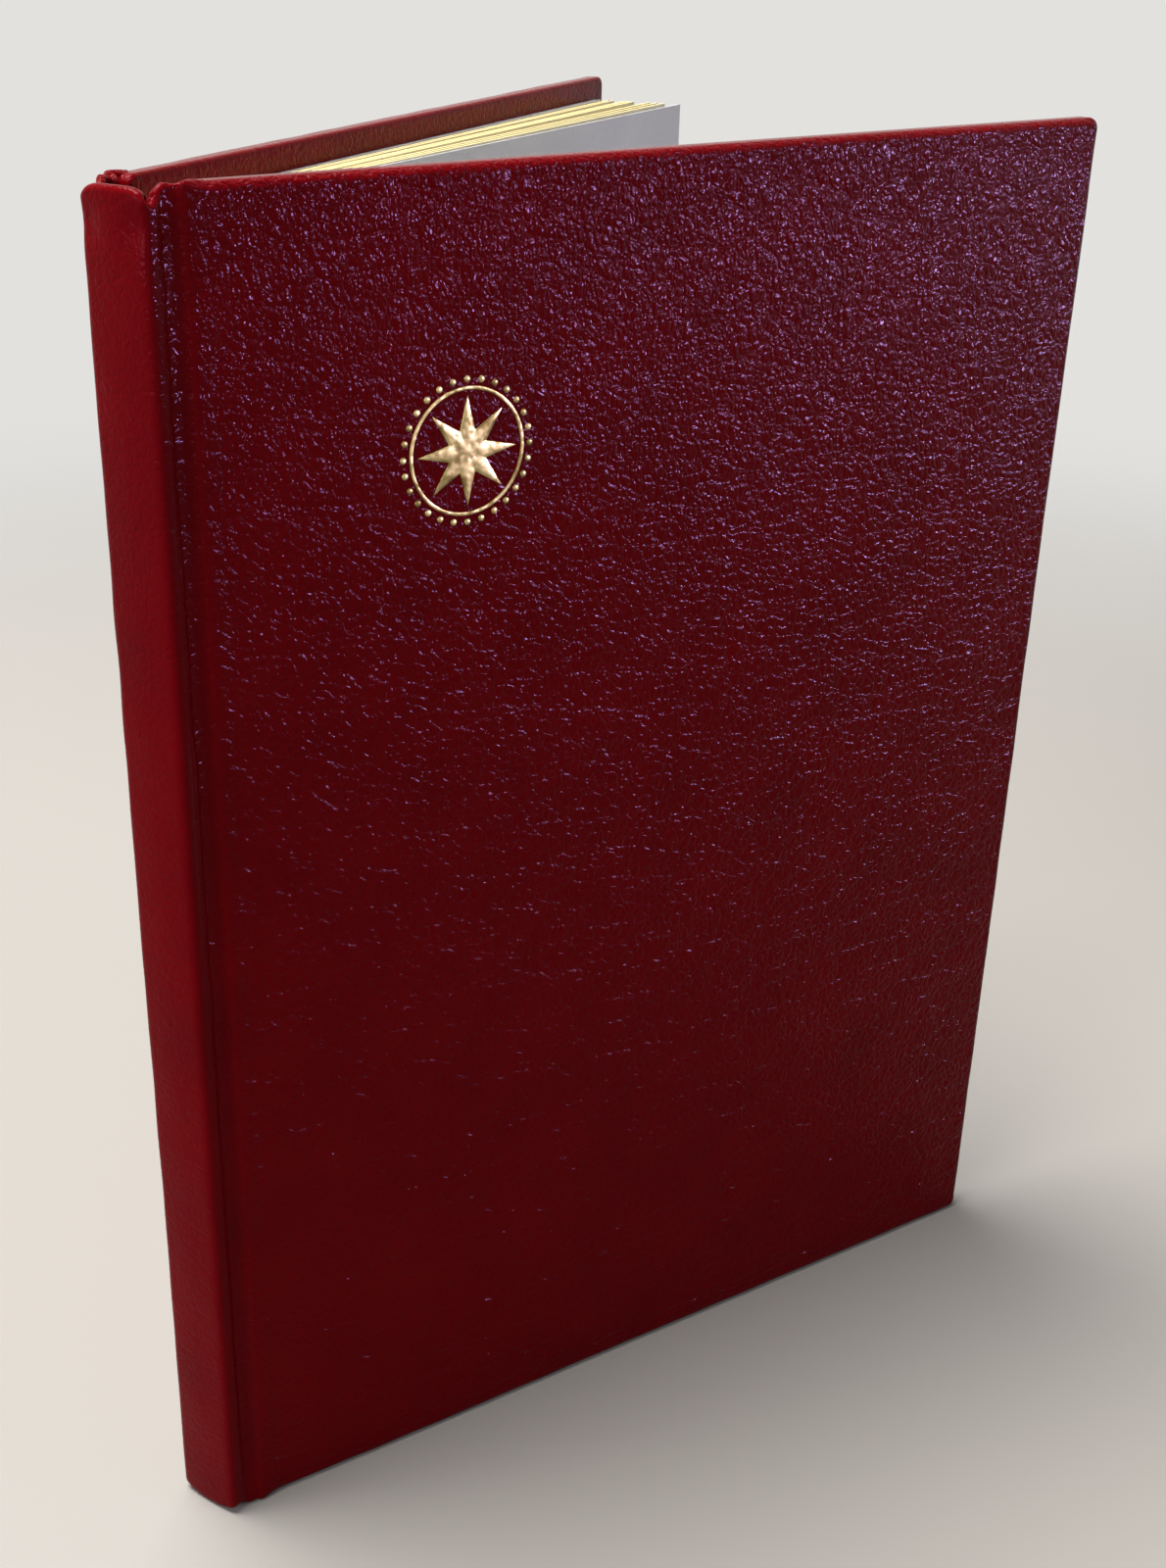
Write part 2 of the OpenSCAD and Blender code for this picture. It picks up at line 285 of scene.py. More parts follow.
def leatherette():
    """Embossed PVC leatherette, roller-grained and glossy: pillowy pebbles 1.6 mm across with finer ones on
    them, whose sides catch the lamps as sparkles. Longer creases wander across them in rows, and near the
    head the skin is pulled over the edge, which draws the pebbles out upright."""
    made, tree, shader, coords = new_material(
        "embossed_pvc_leatherette", Roughness=0.13, Specular_IOR_Level=0.05, IOR=1.5,
        Specular_Tint=linear("#f2b4d4"))
    bend = add(tree, "ShaderNodeTexNoise", Vector=coords, Scale=330.0, Detail=3.0)
    bent = add(tree, "ShaderNodeVectorMath", {"operation": "MULTIPLY_ADD"},
               _0=bend.outputs["Color"], _1=(2.2 * MM, 2.2 * MM, 2.2 * MM), _2=coords)
    place = add(tree, "ShaderNodeSeparateXYZ", _0=coords)
    near_head = add(tree, "ShaderNodeMapRange", {"interpolation_type": "SMOOTHSTEP"},
                    Value=place.outputs["Z"], From_Min=UPRIGHT_FROM * MM, From_Max=UPRIGHT_FULL * MM)
    taller = add(tree, "ShaderNodeMapping", Vector=bent.outputs[0], Scale=(1.4, 1.4, 0.62)).outputs[0]
    rows = add(tree, "ShaderNodeMapping", Vector=bent.outputs[0], Rotation=(0, math.radians(ROW_TILT), 0),
               Scale=(0.5, 0.5, 1.5))
    drawn_out = add(tree, "ShaderNodeMath", {"operation": "MULTIPLY"},
                    _0=creases(tree, taller, UPRIGHT_PEBBLE, PEBBLE_SIDE), _1=near_head.outputs[0])
    depth = creases(tree, bent.outputs[0], PEBBLE, PEBBLE_SIDE)
    for layer, weight in (
            (creases(tree, bent.outputs[0], FINE_PEBBLE, FINE_SIDE), 0.25),
            (drawn_out.outputs[0], 0.6),
            (creases(tree, rows.outputs[0], CREASE_CELL, CREASE_SIDE), 0.8)):
        depth = add(tree, "ShaderNodeMath", {"operation": "MULTIPLY_ADD"},
                    _0=layer, _1=weight, _2=depth).outputs[0]
    grain = add(tree, "ShaderNodeAttribute", {"attribute_name": "grain"})
    pressed = add(tree, "ShaderNodeMath", {"operation": "MULTIPLY"}, _0=depth, _1=grain.outputs["Fac"])
    wrinkle = add(tree, "ShaderNodeTexNoise", Vector=coords, Scale=1100.0, Detail=2.0)
    fine = add(tree, "ShaderNodeMath", {"operation": "MULTIPLY"}, _0=wrinkle.outputs["Fac"], _1=0.1)
    relief = add(tree, "ShaderNodeMath", {"operation": "SUBTRACT"}, _0=fine.outputs[0], _1=pressed.outputs[0])
    bump = add(tree, "ShaderNodeBump", Height=relief.outputs[0], Strength=1.0, Distance=EMBOSS_DEPTH * MM)
    tree.links.new(bump.outputs[0], shader.inputs["Normal"])
    patches = add(tree, "ShaderNodeTexNoise", Vector=coords, Scale=70.0, Detail=5.0)
    body = mix_colours(tree, patches.outputs["Fac"], linear("#5a0107"), linear("#700209"))
    tree.links.new(body, shader.inputs["Base Color"])
    dull = add(tree, "ShaderNodeMapRange", Value=patches.outputs["Fac"], To_Min=0.1, To_Max=0.16)
    tree.links.new(dull.outputs[0], shader.inputs["Roughness"])
    return made


def foil():
    """Hot-stamped metallic foil, pressed into the grain: it shines unevenly and has worn darker in places."""
    made, tree, shader, coords = new_material("hot_stamped_foil", Metallic=1.0, Roughness=0.38)
    press = add(tree, "ShaderNodeTexVoronoi", {"feature": "SMOOTH_F1"}, Vector=coords, Scale=900.0)
    bump = add(tree, "ShaderNodeBump", Height=press.outputs["Distance"], Strength=0.6, Distance=0.2 * MM)
    tree.links.new(bump.outputs[0], shader.inputs["Normal"])
    wear = add(tree, "ShaderNodeTexNoise", Vector=coords, Scale=420.0, Detail=4.0)
    worn = add(tree, "ShaderNodeMapRange", Value=wear.outputs["Fac"], From_Min=0.4, From_Max=0.62)
    tree.links.new(mix_colours(tree, worn.outputs[0], linear("#c2ac72"), linear("#7d6a3c")),
                   shader.inputs["Base Color"])
    return made


def paper(name, base, shade, speckle, roughness=0.75, grain=0.04):
    """Paper or card: cloudy between two near colours, with short fibres 0.6 mm long that show as a fine
    speckle, and a slightly rough matt face, as deep in millimetres as its grain."""
    made, tree, shader, coords = new_material(name, Roughness=roughness, Specular_IOR_Level=0.3)
    cloud = add(tree, "ShaderNodeTexNoise", Vector=coords, Scale=60.0, Detail=4.0)
    fibre = add(tree, "ShaderNodeTexNoise", Vector=coords, Scale=1600.0, Detail=3.0)
    fleck = add(tree, "ShaderNodeMapRange",
                Value=fibre.outputs["Fac"], From_Min=0.62, From_Max=0.75, To_Max=0.5)
    body = mix_colours(tree, cloud.outputs["Fac"], linear(base), linear(shade))
    tree.links.new(mix_colours(tree, fleck.outputs[0], body, linear(speckle)), shader.inputs["Base Color"])
    bump = add(tree, "ShaderNodeBump", Height=fibre.outputs["Fac"], Strength=0.5, Distance=grain * MM)
    tree.links.new(bump.outputs[0], shader.inputs["Normal"])
    return made


BANDS_IN_UNIT = 3.2


def woven(name, base, gap, thread):
    """Plain-woven book cloth: two sets of threads, each a sine ridge of the thread's width in millimetres,
    one set over and the other between, with painted shade making the gaps between the threads darker. At scale 1 a
    wave texture has 3.2 bands a unit."""
    made, tree, shader, coords = new_material(name, Roughness=0.9, Specular_IOR_Level=0.2)
    turned = add(tree, "ShaderNodeMapping", Vector=coords, Rotation=(0, 0, math.radians(17)))
    bands = per_metre(thread) / BANDS_IN_UNIT
    across, along = (add(tree, "ShaderNodeTexWave", {"bands_direction": axis},
                         Vector=turned.outputs[0], Scale=bands, Distortion=0.3) for axis in "ZX")
    weave = add(tree, "ShaderNodeMath", {"operation": "MULTIPLY"},
                _0=across.outputs["Fac"], _1=along.outputs["Fac"])
    # Painted shade: where either set of threads dips, the colour goes to the darker gap colour, standing in for
    # the shade in the weave's hollows.
    body = mix_colours(tree, weave.outputs[0], linear(gap), linear(base))
    tree.links.new(body, shader.inputs["Base Color"])
    bump = add(tree, "ShaderNodeBump", Height=weave.outputs[0], Strength=0.7, Distance=0.1 * MM)
    tree.links.new(bump.outputs[0], shader.inputs["Normal"])
    return made


def glassine():
    """Glassine, a supercalendered paper: thin, milky and see-through, with a glazed face."""
    made, tree, shader, coords = new_material(
        "supercalendered_glassine", Roughness=0.25, IOR=1.45, Alpha=0.45, Coat_Weight=0.3)
    cloud = add(tree, "ShaderNodeTexNoise", Vector=coords, Scale=240.0, Detail=5.0)
    tree.links.new(mix_colours(tree, cloud.outputs["Fac"], linear("#e2dfcf"), linear("#f7f5ea")),
                   shader.inputs["Base Color"])
    bump = add(tree, "ShaderNodeBump", Height=cloud.outputs["Fac"], Strength=0.2, Distance=0.05 * MM)
    tree.links.new(bump.outputs[0], shader.inputs["Normal"])
    return made


LEATHERETTE = leatherette()
FINISHES = {
    "red_leatherette": LEATHERETTE,
    "gold_foil": foil(),
    "cream_card": paper("cream_album_card", "#f7e8b0", "#efdb9c", "#d6bd7a"),
    "endpaper": paper("coated_endpaper", "#e9e9e7", "#d3d4d6", "#b9bbc0", roughness=0.55),
    "greyboard": paper("pulp_greyboard", "#9c9384", "#8a8172", "#655d50", roughness=0.95, grain=0.12),
    "foam": paper("polyurethane_foam_sheet", "#e0dccd", "#cfc9b6", "#a8a08a", roughness=1.0, grain=0.3),
    # The book cloth's second colour is the painted shade in the gaps between its threads.
    "book_cloth": woven("starched_book_cloth", "#ece5d2", "#b3a88c", thread=0.45),
    "glassine": glassine(),
}
for row in frame["record"]["subparts"]:
    for material_slot in frame["nodes"][row["node"]].material_slots:
        material_slot.material = FINISHES[row["material_slot"]]


# The covers' skins

OUTER_ARC_STEPS, INNER_ARC_STEPS, SIDE_STEPS, TURN_IN_STEPS = 9, 4, 4, 5
LEAST_R = 0.3


def rim_steps():
    """Where the skin lies on each ring outside the corner circles' centres, as three columns: the radius from
    those centres, the depth below the face, and how far the centres have moved in. It runs flat to the
    start of the edge, a quarter turn round the padded edge, straight down the side, a quarter turn to the
    inner face, and flat inwards under the endpaper."""
    outer = np.linspace(0, math.pi / 2, OUTER_ARC_STEPS)
    inner = np.linspace(0, math.pi / 2, INNER_ARC_STEPS)[1:]
    sides = np.linspace(EDGE_R, CASE_T - INNER_EDGE_R, SIDE_STEPS)[1:]
    inward = np.linspace(0, TURN_IN_W - CORNER_R, TURN_IN_STEPS)[1:]
    radius = np.concatenate([
        CORNER_R - EDGE_R + EDGE_R * np.sin(outer),
        np.full(len(sides), CORNER_R),
        CORNER_R - INNER_EDGE_R + INNER_EDGE_R * np.cos(inner),
        [(CORNER_R - INNER_EDGE_R + LEAST_R) / 2, LEAST_R],
        np.full(len(inward), LEAST_R),
    ])
    depth = np.concatenate([
        EDGE_R - EDGE_R * np.cos(outer),
        sides,
        CASE_T - INNER_EDGE_R + INNER_EDGE_R * np.sin(inner),
        np.full(2 + len(inward), CASE_T),
    ])
    shift = np.concatenate([np.zeros(len(radius) - len(inward)), inward])
    return np.concatenate([[[0, 0, 0]], np.stack([radius, depth, shift], -1)])


PILLOW = 0.45
FACE_CELL = 1.25
APART = 500


def pillow(x, z):
    """How far the padded face swells: full in the middle and none at the edges, by one minus the sixth power
    of the place across, times the same up the cover."""
    across = np.clip(2 * (x - JOINT_W) / COVER_W - 1, -1, 1)
    up = np.clip(2 * z / COVER_H - 1, -1, 1)
    return PILLOW * (1 - across ** 6) * (1 - up ** 6)


def cover_skin(side, name, node, body):
    """A square sheet wrapped round a padded board. On the face its grid is square; outside the four corner
    circles' centres, ring k of the grid takes the radius and depth of rim step k, and a corner's squares
    open into a quarter circle, at 45 degrees times the smaller step over the larger. The two covers read
    their unevenness APART millimetres either way, so that they differ."""
    steps = rim_steps()
    rings = len(steps) - 1
    halves = np.array([COVER_W / 2, COVER_H / 2]) - CORNER_R
    axes = []
    for half in halves:
        inside = np.linspace(-half, half, int(round(2 * half / FACE_CELL)) + 1)
        place = np.concatenate([np.full(rings, -half), inside, np.full(rings, half)])
        ring = np.concatenate([np.arange(rings, 0, -1), np.zeros(len(inside), int), np.arange(1, rings + 1)])
        axes.append((place, ring))
    (place_x, ring_x), (place_z, ring_z) = axes
    ring_x, ring_z = np.meshgrid(ring_x, ring_z, indexing="ij")
    place_x, place_z = np.meshgrid(place_x, place_z, indexing="ij")
    ring = np.maximum(ring_x, ring_z)
    opened = math.pi / 4 * np.minimum(ring_x, ring_z) / np.maximum(ring, 1)
    wide = ring_x >= ring_z
    out_x = np.where(wide, np.cos(opened), np.sin(opened)) * np.sign(place_x) * (ring_x > 0)
    out_z = np.where(wide, np.sin(opened), np.cos(opened)) * np.sign(place_z) * (ring_z > 0)
    radius, depth, shift = (steps[ring, i] for i in range(3))
    x = place_x * (1 - shift / halves[0]) + radius * out_x + COVER_W / 2 + JOINT_W
    z = place_z * (1 - shift / halves[1]) + radius * out_z + COVER_H / 2
    on_face = 1 - smoothstep(depth, 0.4 * EDGE_R, 1.6 * EDGE_R)
    grid = np.stack([x, depth - pillow(x, z) * on_face, z], -1)
    outer = grid_normals(grid)
    outer *= np.sign(-outer[grid.shape[0] // 2, grid.shape[1] // 2, 1])
    lifted = unevenness(grid + side * APART, broad=0.05, fine=0.035) * on_face
    grid = grid + outer * lifted[..., None]
    local, faces = shell(grid, LEATHER_T, np.array([0, -1.0, 0]))
    piece = make_piece(name, on_cover(local, side), faces, LEATHERETTE, grain=0.35 + 0.65 * on_face)
    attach(piece, body)
    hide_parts(node)


cover_skin(FRONT, "front_cover_skin", "front_leather", "front_cover")
cover_skin(BACK, "back_cover_skin", "back_leather", "back_cover")


# The spine and the joints

SPAN_STEPS = 24


def smooth_path(corners, spacing):
    """A Catmull-Rom curve through the corners, sampled finely and then evenly by its length."""
    points = np.array(corners, float)
    ends = np.concatenate([[2 * points[0] - points[1]], points, [2 * points[-1] - points[-2]]])
    t = np.linspace(0, 1, SPAN_STEPS, endpoint=False)[:, None]
    parts = []
    for a, b, c, d in zip(ends, ends[1:], ends[2:], ends[3:]):
        parts.append(0.5 * (2 * b + (c - a) * t + (2 * a - 5 * b + 4 * c - d) * t ** 2
                            + (3 * b - a - 3 * c + d) * t ** 3))
    dense = np.concatenate(parts + [points[-1:]])
    length = np.concatenate([[0], np.cumsum(np.linalg.norm(np.diff(dense, axis=0), axis=1))])
    count = int(round(length[-1] / spacing)) + 1
    even = np.linspace(0, length[-1], count)
    return np.stack([np.interp(even, length, dense[:, i]) for i in range(2)], -1), even


ROW_SPACING = 1.3
CLOSER_AT_ENDS = 0.08
TURN_IN_ROWS, ROLL_ROWS = 7, 13


def strip_rows():
    """Rows of a strip of skin from the turn-in at the tail, round the tail, up the outside, round the head
    and down to the end of its turn-in. Each row is a place up the strip from 0 to 1, then what is added to
    its height in roll radii and in turn-ins, then how many roll radii it stands in from the outside."""
    folded = np.linspace(1, 0, TURN_IN_ROWS)
    roll = np.linspace(math.pi, 0, ROLL_ROWS)
    up = np.linspace(0, 1, int(COVER_H / ROW_SPACING) + 1)
    up = up - CLOSER_AT_ENDS * np.sin(2 * math.pi * up) / math.pi
    tail = np.concatenate([
        np.stack([0 * folded, 1 - folded, folded, 2 + 0 * folded], -1),
        np.stack([0 * roll, 1 - np.sin(roll), 0 * roll, 1 - np.cos(roll)], -1)[1:],
    ])
    outside = np.stack([up, 1 - 2 * up, 0 * up, 0 * up], -1)[1:-1]
    head = tail[::-1] * np.array([0, -1, -1, 1]) + np.array([1, 0, 0, 0])
    return np.concatenate([tail, outside, head])


def strip_grid(profile, normal, roll, tail, head):
    """Carries a profile up the strip's rows. roll, tail and head give, for each point of the profile, the
    radius that the skin rolls in by and the heights of its two ends. It also gives how far in each row is."""
    rows = strip_rows()
    up, radii, turn_ins, inset = (rows[:, i][None, :] for i in range(4))
    roll, tail, head = roll[:, None], tail[:, None], head[:, None]
    z = tail * (1 - up) + head * up + roll * radii + SPINE_TURN_IN_H * turn_ins
    flat = profile[:, None, :] - normal[:, None, :] * (roll * inset)[..., None]
    return np.concatenate([flat, z[..., None]], -1), inset[0]


def profile_normals(profile, away_from):
    """Unit normals of a plane profile, on the side that looks away from a point."""
    along = np.gradient(profile, axis=0)
    normal = np.stack([along[:, 1], -along[:, 0]], -1)
    normal /= np.linalg.norm(normal, axis=1, keepdims=True)
    if ((profile - np.array(away_from)) * normal).sum() < 0:
        normal = -normal
    return normal


# The spine's round long edge, as x and how far in it is from the spine's half width, then its crown.
SPINE_EDGE = np.array([
    (-2.15, 0.01), (-2.6, 0), (-3.3, 0.04), (-3.85, 0.29), (-4.15, 0.74), (-4.28, 1.34), (-4.35, 2.14)])
SPINE_CROWN = np.array([(-4.45, -2.2), (-4.5, 0), (-4.45, 2.0)])
SPINE_HALF = {FRONT: 6.4, BACK: 5.6}
SPINE_CELL, JOINT_CELL = 0.32, 0.3

# How the skin ends at head and tail: the radii that it rolls in by over board and where it is loose, and
# how deep and wide it dips at the spine's long edges.
BOARD_ROLL = 0.95
SOFT_ROLL = 0.62
HEAD_DROP = 0.1
HEAD_NOTCH = 2.0
HEAD_DIP_W = {"spine": 2.5, "board": 3.2, "joint": 1.5}
TAIL_NOTCH = 1.3
TAIL_DIP_W = {"spine": 3.6, "joint": 1.4}


def spine_profile():
    """The whole profile of the spine's outside, its normals, and the distance of each point from the nearer
    of its two long edges."""
    edges = {side: SPINE_EDGE * [1, -side] + [0, side * SPINE_HALF[side]] for side in (FRONT, BACK)}
    profile, along = smooth_path(np.concatenate([edges[FRONT], SPINE_CROWN, edges[BACK][::-1]]), SPINE_CELL)
    return profile, profile_normals(profile, (0, 0)), np.minimum(along, along[-1] - along)


def spine_skin():
    """The crowned spine with its round long edges. Its ends dip towards the joints, where the skin has been
    pulled in: a V at the head and a wide, round bell at the tail. Just under the head it is drawn in a
    little, by a bell up the spine times a bell across it."""
    profile, normal, edge = spine_profile()
    head = COVER_H - HEAD_NOTCH * bell(edge, 0, HEAD_DIP_W["spine"]) - HEAD_DROP
    tail = TAIL_NOTCH * bell(edge, 0, TAIL_DIP_W["spine"])
    grid, inset = strip_grid(profile, normal, np.full(len(edge), BOARD_ROLL), tail, head)
    outside = inset < 0.5
    outward = np.concatenate([normal, np.zeros((len(normal), 1))], -1)[:, None, :]
    free = smoothstep(edge, 0.0, 2.0)[:, None]
    drawn_in = 0.35 * bell(grid[..., 2], COVER_H - 5, 2.2) * bell(edge, 3.2, 2.2)[:, None]
    lift = (unevenness(grid, broad=0.08, fine=0.05) - drawn_in) * outside * free
    points, faces = shell(grid + outward * lift[..., None], LEATHER_T, np.array([-1.0, 0, 0]))
    piece = make_piece("spine_skin", on_hinge(points), faces, LEATHERETTE, grain=np.full(grid.shape[:2], 0.3))
    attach(piece, "spine")
    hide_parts("spine_leather")


def spine_stiffener():
    """The strip of board inside the spine: its profile moved in by the skin's thickness and a gap, with its
    corners cut back where the skin dips, by a bell a little deeper and wider than the skin's."""
    board_t, gap, head_gap, cut_deeper, rows = 1.3, 0.06, 0.4, 0.9, 60
    profile, normal, edge = spine_profile()
    inset = LEATHER_T + gap
    cut = (HEAD_NOTCH + cut_deeper) * bell(edge, 0, HEAD_DIP_W["board"])
    up = np.linspace(0, 1, rows)[None, :]
    low, high = (inset + cut)[:, None], (COVER_H - inset - head_gap - cut)[:, None]
    z = low + (high - low) * up
    flat = (profile - normal * inset)[:, None, :] + np.zeros((1, rows, 1))
    points, faces = shell(np.concatenate([flat, z[..., None]], -1), board_t, np.array([-1.0, 0, 0]))
    piece = make_piece("spine_stiffener", on_hinge(points), faces, FINISHES["greyboard"])
    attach(piece, "spine")
    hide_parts("spine_board")


# The joint's profile: x and how far in it is from the spine's half width, then x and depth on the cover.
JOINT_BY_SPINE = [(-2.6, 0.06), (-2.05, 0.08), (-1.5, 0.25), (-1.0, 0.45)]
JOINT_BY_COVER = [
    (0.7, 0.8), (1.4, 0.82), (1.95, 0.66), (2.3, 0.34), (2.6, 0.07), (3.0, -0.08), (3.6, -0.13),
    (4.5, -0.13), (5.3, -0.1), (6.0, 0.05), (6.4, 0.25)]
BULGE, BULGE_W = 0.95, 1.9
CURL, CURL_W = 0.5, 1.1
PIT, PIT_W = 1.5, 0.7


def joint_skin(side, name, node):
    """The skin of a joint: from the spine's long edge down into the groove, along its floor and up over the
    cover's ridge, where its end tucks under the cover's own skin. It bulges out near the tail and head,
    where it is doubled by its turn-in, curls in wider at the head and leaves a small pit in the curl."""
    edge = SPINE_HALF[side]
    by_spine = [(x, side * (edge - drop)) for x, drop in JOINT_BY_SPINE]
    by_cover = [in_hinge(x, depth, side) for x, depth in JOINT_BY_COVER]
    profile, along = smooth_path(by_spine + by_cover, JOINT_CELL)
    normal = profile_normals(profile, (0, side * (AXIS_Y - 4)))
    left = along[-1] - along
    curl_at, bulge_at = along[-1] * 0.42, along[-1] * 0.36
    by_board = 1 - smoothstep(along, 0, 2.4)
    by_edge = 1 - smoothstep(left, 1.5, 4)
    roll = (SOFT_ROLL + (BOARD_ROLL - SOFT_ROLL) * by_board + (EDGE_R - SOFT_ROLL) * by_edge
            + CURL * bell(along, curl_at, CURL_W))
    corner = 0.2 * (1 - smoothstep(left, 0.3, 2.8))
    raised = 0.5 * smoothstep(along, 0.6, 2.4)
    head = COVER_H - HEAD_DROP + raised - HEAD_NOTCH * bell(along, 0, HEAD_DIP_W["joint"]) - corner
    tail = TAIL_NOTCH * bell(along, 0, TAIL_DIP_W["joint"]) + corner
    grid, inset = strip_grid(profile, normal, roll, tail, head)
    outside = inset < 0.5
    z = grid[..., 2]
    ends = np.maximum(1 - smoothstep(z, 1, 13), 0.35 * smoothstep(z, COVER_H - 9, COVER_H - 1))
    bulge = BULGE * ends * bell(along, bulge_at, BULGE_W)[:, None]
    pit = PIT * bell(along, curl_at, PIT_W)[:, None] * bell(inset, 1.15, 0.5) * (z > COVER_H - 4)
    grid[..., 2] -= pit
    outward = np.concatenate([normal, np.zeros((len(normal), 1))], -1)[:, None, :]
    free = (smoothstep(along, 0.0, 1.5) * smoothstep(left, 0.6, 3.2))[:, None]
    grid = grid + outward * (bulge + unevenness(grid, broad=0.06, fine=0.06) * outside * free)[..., None]
    points, faces = shell(grid, LEATHER_T, np.array([normal[len(normal) // 2][0], side * 1.0, 0]))
    grain = (1 - 0.4 * smoothstep(left, 1.5, 4.5))[:, None] + 0 * z
    piece = make_piece(name, on_hinge(points), faces, LEATHERETTE, grain=grain)
    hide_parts(node)
    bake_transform(piece)


spine_skin()
spine_stiffener()
joint_skin(FRONT, "front_joint_skin", "front_joint_leather")
joint_skin(BACK, "back_joint_skin", "back_joint_leather")


# The emblem

BEADS, BEAD_SIDES, BEAD_R, BEADS_OUT = 28, 10, 0.05, 0.95
TIPS, TIP_STEPS, TIP_OUT, WAIST_OUT = 8, 12, 0.74, 0.3
RING_STEPS = 97
BEAD_PROFILE = [(0, 0.16), (0.5, 0.14), (0.9, 0.07), (1, -0.1), (0, -0.1)]
RING_PROFILE = [
    (0.81, -0.1), (0.81, 0.08), (0.822, 0.12), (0.848, 0.12), (0.86, 0.08), (0.86, -0.1), (0.81, -0.1)]
STAR_PROFILE = [(0, 0.2), (0.35, 0.18), (0.7, 0.14), (0.97, 0.1), (1, 0.04), (1, -0.1), (0, -0.1)]
SUNK = 0.04


def button(reach, profile, turns=0.0):
    """A solid stamped from the face: reach gives its outline's radius for each angle round it, and profile
    how far out and how high each ring is, from the top's middle over the rim and back under."""
    angle = np.linspace(0, 2 * math.pi, len(reach) + 1)
    reach = np.append(reach, reach[0])
    out = np.array([p[0] for p in profile])[:, None] * reach[None, :]
    high = np.array([p[1] for p in profile])[:, None] + 0 * out
    return np.stack([out * np.cos(angle + turns), high, out * np.sin(angle + turns)], -1)


def emblem():
    """A ring, beads round it and a star, each a stamped solid that follows the padded face. Places and widths
    are shares of the emblem's radius, and heights are in millimetres. The star's outline is straight from
    each tip to the waist between two tips, by the sine rule."""
    bead = button(np.full(BEAD_SIDES, BEAD_R * EMBLEM_R), BEAD_PROFILE)
    round_it = np.linspace(0, 2 * math.pi, BEADS, endpoint=False)
    grids = [bead + BEADS_OUT * EMBLEM_R * np.array([math.cos(a), 0, math.sin(a)]) for a in round_it]
    angle = np.linspace(0, 2 * math.pi, RING_STEPS)
    out = np.array([p[0] for p in RING_PROFILE])[:, None] * EMBLEM_R
    high = np.array([p[1] for p in RING_PROFILE])[:, None] + 0 * angle[None, :]
    grids.append(np.stack([out * np.cos(angle), high, out * np.sin(angle)], -1))
    near = np.abs(2 * (np.arange(TIPS * TIP_STEPS) / TIP_STEPS % 1) - 1)
    half_tip = math.pi / TIPS
    reach = EMBLEM_R * TIP_OUT * WAIST_OUT * math.sin(half_tip) / (
        TIP_OUT * np.sin(half_tip * near) + WAIST_OUT * np.sin(half_tip * (1 - near)))
    grids.append(button(reach, STAR_PROFILE, turns=math.pi / 2 + half_tip))
    points, faces, count = [], [], 0
    for grid in grids:
        index = np.arange(grid.shape[0] * grid.shape[1]).reshape(grid.shape[:2]) + count
        faces.append(quads(index))
        count += index.size
        points.append(grid.reshape(-1, 3))
    flat = np.concatenate(points)
    x = flat[:, 0] + JOINT_W + EMBLEM_X
    z = flat[:, 2] + COVER_H - EMBLEM_DROP
    local = np.stack([x, -pillow(x, z) - flat[:, 1] - SUNK, z], -1)
    piece = make_piece(
        "stamped_emblem", on_cover(local, FRONT), np.concatenate(faces), FINISHES["gold_foil"], merge=True)
    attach(piece, "front_cover")
    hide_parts("front_emblem")


emblem()


# The floor, the lamps and the camera

FLOOR_HALF = 6.0
FADE_FROM, FADE_TO = 0.28, 0.75
ROOM_STRENGTH = 0.22


def seen_rays(tree):
    """The light path, and 1 for the rays that see the background: camera, glossy and transmission rays."""
    path = add(tree, "ShaderNodeLightPath")
    mirrored = add(tree, "ShaderNodeMath", {"operation": "MAXIMUM"},
                   _0=path.outputs["Is Glossy Ray"], _1=path.outputs["Is Transmission Ray"])
    seen = add(tree, "ShaderNodeMath", {"operation": "MAXIMUM"},
               _0=path.outputs["Is Camera Ray"], _1=mirrored.outputs[0])
    return path, seen.outputs[0]


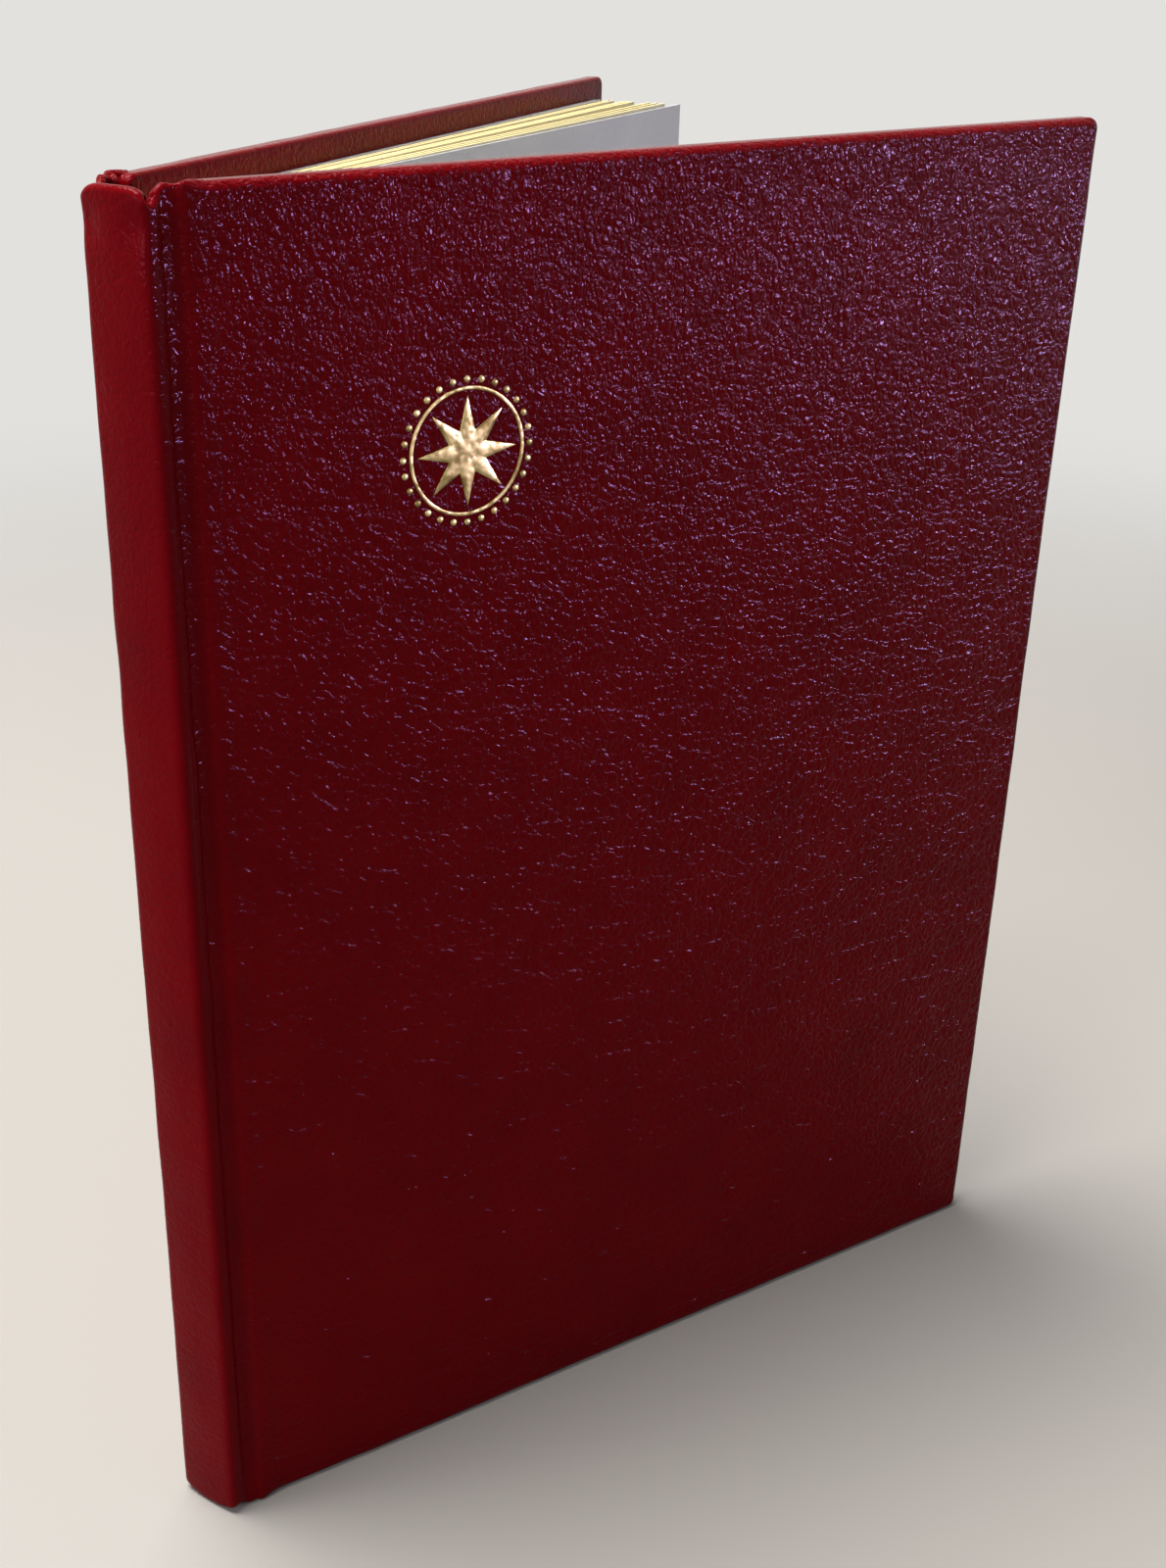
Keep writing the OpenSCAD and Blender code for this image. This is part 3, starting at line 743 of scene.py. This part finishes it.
def backdrop():
    """A plain pale floor that takes the album's shadow, and the same pale tone beyond it. The floor is a
    little darker to the rays that light the album than to the camera."""
    mesh = bpy.data.meshes.new("floor")
    corners = [(x * FLOOR_HALF, y * FLOOR_HALF, 0) for x, y in ((-1, -1), (1, -1), (1, 1), (-1, 1))]
    mesh.from_pydata(corners, [], [(0, 1, 2, 3)])
    made, tree, shader, coords = new_material("pale_matt_floor", Roughness=0.9, Specular_IOR_Level=0.0)
    tone = linear("#e2e1de")
    path, seen = seen_rays(tree)
    shade = mix_colours(tree, path.outputs["Is Camera Ray"], linear("#8c8a88"), linear("#a5a3a0"))
    tree.links.new(shade, shader.inputs["Base Color"])
    far = add(tree, "ShaderNodeVectorMath", {"operation": "LENGTH"}, _0=coords)
    fade = add(tree, "ShaderNodeMapRange", {"interpolation_type": "SMOOTHSTEP"},
               Value=far.outputs["Value"], From_Min=FADE_FROM, From_Max=FADE_TO)
    beyond = add(tree, "ShaderNodeMath", {"operation": "MULTIPLY"}, _0=fade.outputs[0], _1=seen)
    glow = add(tree, "ShaderNodeEmission", Color=tone, Strength=1.0)
    surface = add(tree, "ShaderNodeMixShader",
                  _0=beyond.outputs[0], _1=shader.outputs[0], _2=glow.outputs[0])
    tree.links.new(surface.outputs[0], tree.nodes["Material Output"].inputs["Surface"])
    mesh.materials.append(made)
    floor = bpy.data.objects.new("floor", mesh)
    bpy.context.scene.collection.objects.link(floor)
    world = bpy.data.worlds.new("studio")
    world.use_nodes = True
    tree = world.node_tree
    tree.nodes.clear()
    room = add(tree, "ShaderNodeBackground", Color=linear("#e4e6ea"), Strength=ROOM_STRENGTH)
    wall = add(tree, "ShaderNodeBackground", Color=tone, Strength=1.0)
    choice = add(tree, "ShaderNodeMixShader",
                 _0=seen_rays(tree)[1], _1=room.outputs[0], _2=wall.outputs[0])
    add(tree, "ShaderNodeOutputWorld", Surface=choice.outputs[0])
    bpy.context.scene.world = world


def lamp(name, place, target, size, power, tint):
    """A soft oblong lamp of a power in watts at a place, facing a target, in metres. It isn't seen itself."""
    data = bpy.data.lights.new(name, "AREA")
    data.shape = "RECTANGLE"
    data.size, data.size_y = size
    data.energy = power
    data.color = linear(tint)[:3]
    made = bpy.data.objects.new(name, data)
    away = np.array(place, float) - np.array(target, float)
    away /= np.linalg.norm(away)
    right = np.cross((0, 0, 1.0), away)
    right /= np.linalg.norm(right)
    made.matrix_world = Matrix([
        [right[i], np.cross(away, right)[i], away[i], place[i]] for i in range(3)] + [[0, 0, 0, 1]])
    made.visible_camera = False
    bpy.context.scene.collection.objects.link(made)
    return made


def camera():
    """A camera at a place in metres, turned by its yaw from the y axis, pitch and roll in degrees. Its focal
    length and the shift of its middle are in pixels of a frame 1600 high."""
    place = (-0.255094, -0.165396, 0.253719)
    yaw, pitch, roll = (math.radians(a) for a in (54.373, -25.192, 0.341))
    focal, frame_height, middle_shift = 1946.266, 1600, 95
    sensor_width = 36
    ahead = np.array([math.sin(yaw) * math.cos(pitch), math.cos(yaw) * math.cos(pitch), math.sin(pitch)])
    right = np.array([math.cos(yaw), -math.sin(yaw), 0])
    up = np.cross(right, ahead)
    right, up = math.cos(roll) * right + math.sin(roll) * up, math.cos(roll) * up - math.sin(roll) * right
    data = bpy.data.cameras.new("camera")
    data.sensor_width = sensor_width
    data.lens = focal * sensor_width / frame_height
    data.shift_x = middle_shift / frame_height
    data.clip_start = 0.01
    made = bpy.data.objects.new("camera", data)
    made.matrix_world = Matrix([
        [right[i], up[i], -ahead[i], place[i]] for i in range(3)] + [[0, 0, 0, 1]])
    bpy.context.scene.collection.objects.link(made)
    bpy.context.scene.camera = made


backdrop()
lamp("overhead", (-0.15, 0.3, 1.25), (0, 0, 0.1), (0.7, 0.7), 32, "#fffaf4")
lamp("left_window", (-1.4, 0.25, 0.5), (0, 0, 0.1), (0.8, 0.8), 9.5, "#fffaf6")
lamp("low_front", (0.5, -1.45, 0.6), (0, 0, 0.12), (0.4, 0.4), 2.6, "#f4f2ff")
# The window low on the right only shows as sparkle on gloss, so that it doesn't tint the matt surfaces.
sheen = lamp("right_window", (0.62, -1.42, 0.25), (0, 0, 0.16), (0.5, 0.15), 50, "#cbbfff")
sheen.visible_diffuse = False
camera()
bpy.context.scene.view_settings.view_transform = "Standard"
